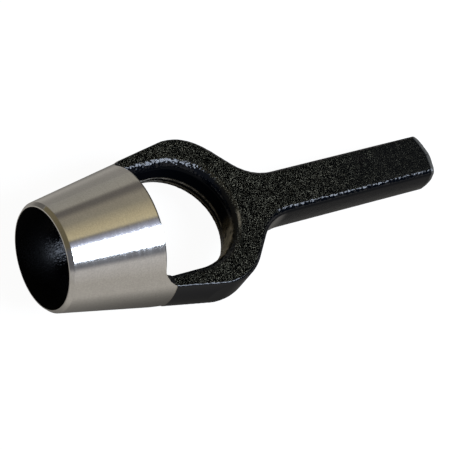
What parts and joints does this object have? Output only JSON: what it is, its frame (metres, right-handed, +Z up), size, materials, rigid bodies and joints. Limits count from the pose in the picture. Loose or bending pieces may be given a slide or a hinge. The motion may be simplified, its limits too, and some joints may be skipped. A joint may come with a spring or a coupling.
{
  "type": "arch punch",
  "caption": "Hand punch for cutting discs and round holes: a tapered, ground cutting ring on a black forged arch, whose arms join in a bar-shaped shank that is struck with a hammer.",
  "frame": {"origin": "on the surface that the punch lies on, under the middle of its box", "axes": "+X from the cutting edge to the struck end, +Y across the arch, +Z up out of the upper broad face. The punch lies on its side, on the back rim of the ring and the end of the shank, so its axis dips 7.65 degrees towards +X"},
  "size_m": [0.1484, 0.052, 0.0446],
  "materials": {
    "ground_steel": "satin, ground round the axis; the bore is black",
    "black_enamel": "semi-gloss black over the coarse grain of a forging"
  },
  "bodies": {
    "root": {"cutting_head": "ground_steel", "arch_handle": "black_enamel", "root_welds": "black_enamel"}
  },
  "joints": []
}
